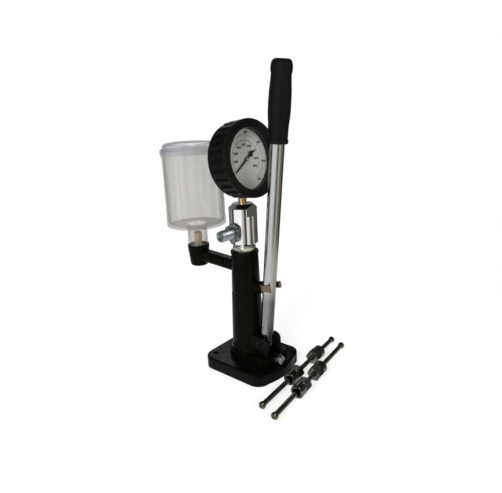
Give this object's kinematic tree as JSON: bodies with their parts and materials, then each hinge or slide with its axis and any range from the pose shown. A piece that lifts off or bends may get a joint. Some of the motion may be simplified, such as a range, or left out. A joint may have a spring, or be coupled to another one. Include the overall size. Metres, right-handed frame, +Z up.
{
  "type": "diesel injector tester",
  "caption": "Hand-pumped diesel injector tester: black column with a long lever handle, bright head, dial gauge, clear fuel cup and loose test pipes.",
  "frame": {"origin": "middle of the four bolt holes, on the underside of the base plate", "axes": "+X to the operator's right, -Y towards the operator, who faces the dial, +Z up along the column"},
  "size_m": [0.2479, 0.3072, 0.4975],
  "materials": {
    "black_paint": "gloss",
    "black_rubber": "matt",
    "seal_rubber": "matt",
    "zinc": "bright zinc",
    "machined_steel": "satin",
    "dark_steel": "blackened",
    "spring_steel": "oiled",
    "chrome_head": "polished",
    "tube_steel": "satin",
    "cast_lever": "machined",
    "brass": "satin",
    "bronze": "dull",
    "copper": "dull",
    "clear_plastic": "clear",
    "lid_plastic": "translucent",
    "filter_felt": "matt",
    "window_glass": "clear",
    "dial_paint": "matt",
    "pointer_paint": "satin",
    "case_paint": "satin",
    "pipe_steel": "oiled",
    "nut_steel": "oiled",
    "nut_zinc": "bright zinc"
  },
  "bodies": {
    "stand": {"body_casting": "black_paint", "bottom_plug": "machined_steel", "bottom_plug_washer": "copper", "pivot_pin": "black_paint", "pin_rings": "dark_steel", "stop_screw": "zinc", "stop_washer": "zinc", "handle_clip": "bronze", "clip_screw": "machined_steel", "pump_barrel": "machined_steel", "barrel_seal": "seal_rubber", "upper_spring_seat": "machined_steel", "plunger_spring": "spring_steel", "lock_nut": "nut_zinc", "pump_head": "chrome_head", "valve_seat": "machined_steel", "valve_spring": "spring_steel", "valve_cap": "machined_steel", "outlet_union": "zinc", "outlet_washer": "copper", "gauge_washer": "copper", "gauge_stem": "brass", "gauge_case": "case_paint", "gauge_boot": "black_rubber", "gauge_bezel": "case_paint", "gauge_glass": "window_glass", "dial_plate": "dial_paint", "bourdon_tube": "brass", "movement_frame": "brass", "cup_seal": "seal_rubber", "filter_element": "filter_felt"},
    "handle": {"handle_lever": "cast_lever", "lever_bush": "bronze", "handle_tube": "tube_steel", "tube_pin": "dark_steel", "grip": "black_rubber"},
    "plunger": {"plunger": "machined_steel", "tappet": "machined_steel", "lower_spring_seat": "machined_steel"},
    "valve_ball": {"valve_ball": "machined_steel"},
    "pointer": {"pointer": "pointer_paint", "pointer_pinion": "brass"},
    "sector": {"sector_gear": "brass"},
    "link": {"tip_link": "brass"},
    "cup": {"cup_body": "clear_plastic"},
    "lid": {"cup_lid": "lid_plastic"},
    "pipe_a": {"pipe_a": "pipe_steel"},
    "pipe_a_nut_left": {"pipe_a_nut_left": "nut_steel"},
    "pipe_a_nut_right": {"pipe_a_nut_right": "nut_steel"},
    "pipe_b": {"pipe_b": "pipe_steel"},
    "pipe_b_nut_left": {"pipe_b_nut_left": "nut_steel"},
    "pipe_b_nut_right": {"pipe_b_nut_right": "nut_steel"}
  },
  "joints": [
    {"name": "handle_hinge", "type": "hinge", "parent": "stand", "child": "handle", "pos_m": [0, -0.0355, 0.05], "axis": [1, 0, 0], "range_deg": [0, 30]},
    {"name": "plunger_slide", "type": "slide", "parent": "stand", "child": "plunger", "axis": [0, 0, 1], "range_m": [0, 0.0172], "stiffness_N_per_m": 4000, "springref_m": -0.01, "deforming": ["plunger_spring"]},
    {"name": "ball_lift", "type": "slide", "parent": "stand", "child": "valve_ball", "axis": [0, 0, 1], "range_m": [0, 0.0015], "stiffness_N_per_m": 100, "springref_m": -0.004, "deforming": ["valve_spring"]},
    {"name": "sector_turn", "type": "hinge", "parent": "stand", "child": "sector", "pos_m": [-0.0002, 0.00165, 0.33318], "axis": [-0.0709, -0.9894, 0.1271], "range_deg": [0, 33.75], "stiffness_Nm_per_rad": 0.05, "springref_deg": -17.19},
    {"name": "pointer_turn", "type": "hinge", "parent": "stand", "child": "pointer", "pos_m": [0, 0.0045, 0.3555], "axis": [0.0709, 0.9894, -0.1271], "range_deg": [0, 270]},
    {"name": "link_turn", "type": "hinge", "parent": "sector", "child": "link", "pos_m": [0.00678, 0.00115, 0.33318], "axis": [-0.0709, -0.9894, 0.1271], "range_deg": [-33.75, 0]},
    {"name": "cup_lift", "type": "slide", "parent": "stand", "child": "cup", "axis": [0, 0, 1], "range_m": [0, 0.05]},
    {"name": "lid_lift", "type": "slide", "parent": "cup", "child": "lid", "axis": [0, 0, 1], "range_m": [0, 0.05]},
    {"name": "pipe_a_lift", "type": "slide", "parent": "stand", "child": "pipe_a", "axis": [0, 0, 1], "range_m": [0, 0.05]},
    {"name": "pipe_b_lift", "type": "slide", "parent": "stand", "child": "pipe_b", "axis": [0, 0, 1], "range_m": [0, 0.05]},
    {"name": "nut_a_left_slide", "type": "slide", "parent": "pipe_a", "child": "pipe_a_nut_left", "axis": [-0.9974, -0.0715, 0], "range_m": [-0.02, 0.07]},
    {"name": "nut_a_right_slide", "type": "slide", "parent": "pipe_a", "child": "pipe_a_nut_right", "axis": [0.9974, 0.0715, 0], "range_m": [-0.02, 0.045]},
    {"name": "nut_b_left_slide", "type": "slide", "parent": "pipe_b", "child": "pipe_b_nut_left", "axis": [-0.996, -0.0889, 0], "range_m": [-0.01, 0.06]},
    {"name": "nut_b_right_slide", "type": "slide", "parent": "pipe_b", "child": "pipe_b_nut_right", "axis": [0.996, 0.0889, 0], "range_m": [-0.01, 0.075]}
  ],
  "couplings": [
    {"joint": "plunger_slide", "follows": "handle_hinge", "m_per_rad": 0.0327},
    {"joint": "pointer_turn", "follows": "sector_turn", "ratio": 8},
    {"joint": "link_turn", "follows": "sector_turn", "ratio": -1}
  ]
}
